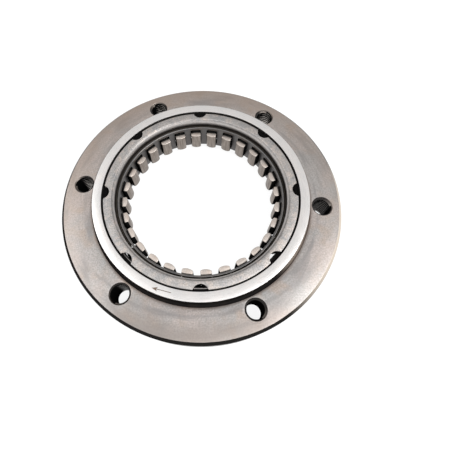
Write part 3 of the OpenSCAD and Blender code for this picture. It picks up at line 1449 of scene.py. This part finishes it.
@dataclass
class Cages:
    """The outer and the inner cage, both pressed from sheet metal."""

    finishes: Finishes
    windows: WindowRow
    flange_r: float
    top_z: float
    bottom_z: float
    inner_outside_r: float
    inner_top_z: float
    sheet: float = 1.1
    wall_r: float = 34.85
    bend_r: float = 0.5
    inner_sheet: float = 0.9
    outer_window_w: float = 4.6
    inner_window_w: float = 4.9
    notch_count: int = 8
    notch_start: float = 6.7
    notch_r: float = 3.0
    notch_depth: float = 2.3
    notch_round: float = 0.45
    notch_steps: int = 20
    mouth_steps: int = 5
    edge_round: float = 0.12
    steps: int = 280
    cut: float = 1.0
    reach: float = 1.5

    def outer_section(self) -> list[Point]:
        """Draws the outer cage's half section: a wall bent outwards into a flange.

        Returns:
            The outline as radius and height.
        """
        edge = self.edge_round
        outside_r = self.wall_r + self.sheet
        under_z = self.top_z - self.sheet
        return rounded([
            Corner(self.wall_r, self.bottom_z, edge),
            Corner(outside_r, self.bottom_z, edge),
            Corner(outside_r, under_z, self.bend_r, steps=6),
            Corner(self.flange_r, under_z, edge),
            Corner(self.flange_r, self.top_z, 2 * edge),
            Corner(self.wall_r, self.top_z, self.bend_r + self.sheet, steps=10),
        ])

    def inner_section(self) -> list[Point]:
        """Draws the inner cage's half section: a plain wall.

        Returns:
            The outline as radius and height.
        """
        edge = self.edge_round
        inside_r = self.inner_outside_r - self.inner_sheet
        return rounded([
            Corner(inside_r, self.bottom_z, edge),
            Corner(self.inner_outside_r, self.bottom_z, edge),
            Corner(self.inner_outside_r, self.inner_top_z, 2 * edge),
            Corner(inside_r, self.inner_top_z, 4 * edge, steps=6),
        ])

    def notch_cutter(self) -> bpy.types.Object:
        """Makes the half-round punches with the flared mouth that pressing leaves.

        Returns:
            The punches, joined in one object.
        """
        centre = self.flange_r - self.notch_depth + self.notch_r
        inside, touch = self.flange_r - self.notch_round, self.notch_r + self.notch_round
        mouth_y = (inside**2 + centre**2 - touch**2) / (2 * centre)
        mouth_x = math.sqrt(inside**2 - mouth_y**2)
        share = self.notch_r / touch
        meet = (mouth_x * share, centre + (mouth_y - centre) * share)
        radii = (self.flange_r, self.flange_r + self.reach)
        leave, out = ((mouth_x * radius / inside, mouth_y * radius / inside) for radius in radii)
        left_meet, left_leave, left_out = ((-x, y) for x, y in (meet, leave, out))
        flare, steps = self.notch_round, self.mouth_steps
        outline = [
            left_out,
            left_leave,
            *arc((-mouth_x, mouth_y), flare, left_leave, left_meet, Way.CLOCKWISE, steps)[1:],
            *arc((0, centre), self.notch_r, left_meet, meet, Way.ANTICLOCKWISE, self.notch_steps)[1:],
            *arc((mouth_x, mouth_y), flare, meet, leave, Way.CLOCKWISE, steps)[1:],
            out,
        ]
        low, high = self.top_z - self.sheet - self.cut, self.top_z + self.cut
        punch = extrude_solid("notch", outline, Plane.PLAN, low, high)
        return copies_around(punch, self.notch_count, self.notch_start - Y_ANGLE)

    def build_outer(self) -> bpy.types.Object:
        """Makes the outer cage and puts it in the frame.

        Returns:
            The finished piece.
        """
        cage = spin_solid("outer_cage_pressed", self.outer_section(), self.steps)
        cut_away(cage, self.windows.cutter(self.outer_window_w, self.wall_r))
        cut_away(cage, self.notch_cutter())
        set_finishes(cage, [self.finishes.cage])
        smooth_shade(cage)
        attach(cage, "outer_cage")
        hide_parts("outer_cage")
        return cage

    def build_inner(self) -> bpy.types.Object:
        """Makes the inner cage and puts it in the frame.

        Returns:
            The finished piece.
        """
        cage = spin_solid("inner_cage_pressed", self.inner_section(), self.steps)
        cut_away(cage, self.windows.cutter(self.inner_window_w, self.inner_outside_r - self.inner_sheet))
        set_finishes(cage, [self.finishes.inner_cage])
        smooth_shade(cage)
        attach(cage, "inner_cage")
        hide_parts("inner_cage")
        return cage


@dataclass
class SpragSet:
    """The sprags: one is modelled with rounded edges, and the rest are copies."""

    finishes: Finishes
    low_z: float
    high_z: float
    count: int = 28
    start: float = 10.3
    pivot_r: float = 35.6
    head_r: float = 2.05
    foot_depth: float = 5.2
    foot_w: float = 4.3
    cam_r: float = 4.8
    cam_offset: float = 0.35
    waist_w: float = 3.1
    waist_r: float = 1.35
    waist_y: float = -2.0
    heel_drop: float = 0.35
    toe_drop: float = 0.1
    side_round: float = 0.4
    side_steps: int = 3
    end_round: float = 0.16
    end_steps: int = 3
    arc_steps: int = 8
    sharp_angle: float = 40.0

    def outline(self) -> list[Point]:
        """Draws a sprag's outline about its head's centre: Y points at the track, X leans clockwise.

        Returns:
            The outline.
        """
        half, inset, steps = self.foot_w / 2, self.side_round, self.side_steps
        hollow_x = self.waist_w / 2 + self.waist_r
        arc_steps, hollow_r, hollow_y = self.arc_steps, self.waist_r, self.waist_y
        neck_y = hollow_y + math.sqrt(hollow_r**2 - (hollow_x - self.head_r) ** 2)
        ankle_y = hollow_y - math.sqrt(hollow_r**2 - (hollow_x - half) ** 2)
        cam_x, cam_y = self.cam_offset, self.cam_r - self.foot_depth
        heel_y = cam_y - math.sqrt(self.cam_r**2 - (half + cam_x) ** 2)
        toe_y = cam_y - math.sqrt(self.cam_r**2 - (half - cam_x) ** 2)
        left_neck, right_neck = (-self.head_r, neck_y), (self.head_r, neck_y)
        left_ankle, right_ankle = (-half, ankle_y), (half, ankle_y)
        crown = ((self.head_r, 0), (-self.head_r, 0))
        head = arc((0, 0), self.head_r, *crown, Way.ANTICLOCKWISE, 2 * arc_steps)
        left = arc((-hollow_x, hollow_y), hollow_r, left_neck, left_ankle, Way.CLOCKWISE, arc_steps)
        right = arc((hollow_x, hollow_y), hollow_r, right_ankle, right_neck, Way.CLOCKWISE, arc_steps)
        left_foot = rounded([
            Corner(*left_ankle),
            Corner(-half, heel_y, inset, steps),
            Corner(-half + 2 * inset, heel_y - self.heel_drop),
        ])[1:-1]
        right_foot = rounded([
            Corner(half - 2 * inset, toe_y - self.toe_drop),
            Corner(half, toe_y, inset, steps),
            Corner(*right_ankle),
        ])[1:-1]
        ends = (left_foot[-1], right_foot[0])
        sole = arc((cam_x, cam_y), self.cam_r, *ends, Way.ANTICLOCKWISE, arc_steps)[1:-1]
        return [*head, *left, *left_foot, *sole, *right_foot, *right]

    def model(self) -> bpy.types.Object:
        """Makes the one sprag that the others are copied from.

        Returns:
            The sprag, its head's centre on the axis.
        """
        sprag = extrude_solid("sprag_model", self.outline(), Plane.PLAN, self.low_z, self.high_z)
        with editing("DESELECT"):
            mesh = bmesh.from_edit_mesh(sprag.data)
            bpy.ops.mesh.select_mode(type="FACE")
            for face in mesh.faces:
                face.select = abs(face.normal.z) > LEVEL
            bmesh.update_edit_mesh(sprag.data)
            bpy.ops.mesh.region_to_loop()
            bpy.ops.mesh.bevel(offset=self.end_round * MM, segments=self.end_steps)
            bpy.ops.mesh.select_mode(type="VERT")
        close_mesh(sprag)
        set_finishes(sprag, [self.finishes.sprag])
        smooth_shade(sprag, self.sharp_angle)
        return sprag

    def build(self) -> list[bpy.types.Object]:
        """Copies the sprag to each of its places in the frame.

        Returns:
            The finished sprags.
        """
        model = self.model()
        pieces = []
        for number in range(1, self.count + 1):
            mesh = model.data.copy()
            turn = turn_by(self.start + (number - 1) * FULL_TURN / self.count - Y_ANGLE)
            mesh.transform(turn @ move_by(0, self.pivot_r))
            piece = add_object(f"sprag_shaped_{number:02d}", mesh)
            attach(piece, f"sprag_{number:02d}")
            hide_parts(f"sprag_{number:02d}")
            pieces.append(piece)
        bpy.data.objects.remove(model)
        return pieces


@dataclass(frozen=True)
class PhotoCamera:
    """The camera, fitted to the photograph. Its offset and distance are multiples of its unit."""

    centre: Vector
    unit: float = 56.0
    image_size: float = 452
    focal_px: float = 332.4973
    axis_px: Point = (200, 200)
    elevation: float = 64.7527
    roll: float = 3.0314
    turn: float = 9.24
    offset: Point = (0.005, 0.0372)
    distance: float = 2.443
    sensor: float = 36
    near_limit: float = 10.0

    def build(self) -> bpy.types.Object:
        """Makes the camera and sets it as the scene's.

        Returns:
            The camera.
        """
        rise, roll = math.radians(self.elevation), math.radians(self.roll)
        forward = Vector((0, math.cos(rise), -math.sin(rise)))
        right = Vector((1, 0, 0))
        up = right.cross(forward)
        spot = -(right * self.offset[0] + up * self.offset[1] + forward * self.distance) * self.unit * MM
        image_x = right * math.cos(roll) - up * math.sin(roll)
        image_y = right * math.sin(roll) + up * math.cos(roll)
        pose = Matrix((image_x, image_y, -forward)).transposed().to_4x4()
        data = bpy.data.cameras.new("camera")
        data.sensor_width = self.sensor
        data.lens = self.focal_px / self.image_size * self.sensor
        data.shift_x = 0.5 - self.axis_px[0] / self.image_size
        data.shift_y = self.axis_px[1] / self.image_size - 0.5
        data.clip_start = self.near_limit * MM
        camera = add_object("camera", data)
        stand = Matrix.Translation(self.centre) @ turn_by(self.turn) @ Matrix.Translation(spot)
        camera.matrix_world = stand @ pose
        bpy.context.scene.camera = camera
        return camera


@dataclass(frozen=True)
class Softbox:
    """A soft square lamp that looks at the object: its place and side in metres, and its power."""

    name: str
    spot: tuple[float, float, float]
    watts: float
    side: float = 0.6

    def build(self) -> bpy.types.Object:
        """Hangs the lamp.

        Returns:
            The lamp.
        """
        data = bpy.data.lights.new(self.name, "AREA")
        data.size = self.side
        data.energy = self.watts
        lamp = add_object(self.name, data)
        lamp.location = self.spot
        lamp.rotation_euler = (-Vector(self.spot)).to_track_quat("-Z", "Y").to_euler()
        return lamp


@dataclass(frozen=True)
class Studio:
    """The plain white studio: floor, world and soft lamps."""

    floor_size: float = 6.0
    floor_gap: float = 0.1
    floor_paint: float = 0.14
    floor_roughness: float = 0.9
    floor_glow: float = 0.9
    world_level: float = 0.8
    lamps: tuple[Softbox, ...] = (
        Softbox("softbox_left", (-0.57, 0.05, 0.82), 2.4),
        Softbox("softbox_right", (0.53, -0.15, 0.83), 8.0),
        Softbox("softbox_top", (0.05, -0.36, 0.93), 1.6),
    )

    @staticmethod
    def seen(sketch: NodeSketch, level: float) -> Socket:
        """Gives a level to what the camera, mirrors and glass see, and none to the rest.

        Args:
            sketch: The material's or the world's nodes.
            level: The level.

        Returns:
            The level, or 0 for other rays.
        """
        path = sketch.add("LightPath").outputs
        seen = sketch.maths("MAXIMUM", path["Is Camera Ray"], path["Is Glossy Ray"])
        seen = sketch.maths("MAXIMUM", seen, path["Is Transmission Ray"])
        return sketch.times(seen, level)

    def floor(self) -> bpy.types.Object:
        """Makes the white floor, which keeps the object's shadow.

        Returns:
            The floor.
        """
        bpy.ops.object.select_all(action="DESELECT")
        bpy.ops.mesh.primitive_plane_add(size=self.floor_size, location=(0, 0, -self.floor_gap * MM))
        floor = bpy.context.object
        floor.name = "floor"
        material = bpy.data.materials.new("floor_white")
        material.use_nodes = True
        sketch = NodeSketch(material.node_tree)
        shader = material.node_tree.nodes["Principled BSDF"].inputs
        shader["Base Color"].default_value = (self.floor_paint, self.floor_paint, self.floor_paint, 1)
        shader["Roughness"].default_value = self.floor_roughness
        shader["Specular IOR Level"].default_value = 0.0
        shader["Emission Color"].default_value = (1, 1, 1, 1)
        sketch.tree.links.new(self.seen(sketch, self.floor_glow), shader["Emission Strength"])
        floor.data.materials.append(material)
        return floor

    def world(self) -> None:
        """Makes the white surroundings: full white where they are seen, and a plain level as light."""
        world = bpy.data.worlds.new("studio")
        bpy.context.scene.world = world
        world.use_nodes = True
        sketch = NodeSketch(world.node_tree)
        background = world.node_tree.nodes["Background"].inputs
        background["Color"].default_value = (1, 1, 1, 1)
        strength = sketch.maths("ADD", self.seen(sketch, 1 - self.world_level), self.world_level)
        sketch.tree.links.new(strength, background["Strength"])

    def build(self) -> None:
        """Makes the floor, the world and the lamps."""
        self.floor()
        self.world()
        for lamp in self.lamps:
            lamp.build()
        bpy.context.scene.view_settings.view_transform = "Standard"


def millimetres(node: str) -> tuple[Vector, Vector]:
    """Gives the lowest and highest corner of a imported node, in millimetres."""
    low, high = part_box(node)
    return low / MM, high / MM


def main() -> None:
    """Builds the clutch piece by piece and reports each."""
    logging.basicConfig(level=logging.INFO, format="%(message)s")
    PhotoCamera(Vector((0, 0, OuterRace.flange_t * MM))).build()
    Studio().build()
    finishes = Finishes()
    race_box, cage_box = millimetres("outer_race")[1], millimetres("outer_cage")
    inner_box, sprag_box = millimetres("inner_cage"), millimetres("sprag_01")

    race = OuterRace(finishes, flange_r=race_box.x, top_z=race_box.z).build()
    log.info("piece %s: %d faces", race.name, len(race.data.polygons))
    cages = Cages(
        finishes,
        WindowRow(count=SpragSet.count, start=SpragSet.start, foot_z=cage_box[0].z),
        flange_r=cage_box[1].x,
        top_z=cage_box[1].z,
        bottom_z=cage_box[0].z,
        inner_outside_r=inner_box[1].x,
        inner_top_z=inner_box[1].z,
    )
    for cage in (cages.build_outer(), cages.build_inner()):
        log.info("piece %s: %d faces", cage.name, len(cage.data.polygons))
    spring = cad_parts["ribbon_spring"]
    set_finishes(spring, [finishes.spring])
    log.info("node %s: new finish", spring.name)
    sprags = SpragSet(finishes, low_z=sprag_box[0].z, high_z=sprag_box[1].z).build()
    log.info("sprags: %d of %d faces each", len(sprags), len(sprags[0].data.polygons))


if __name__ == "__main__":
    main()
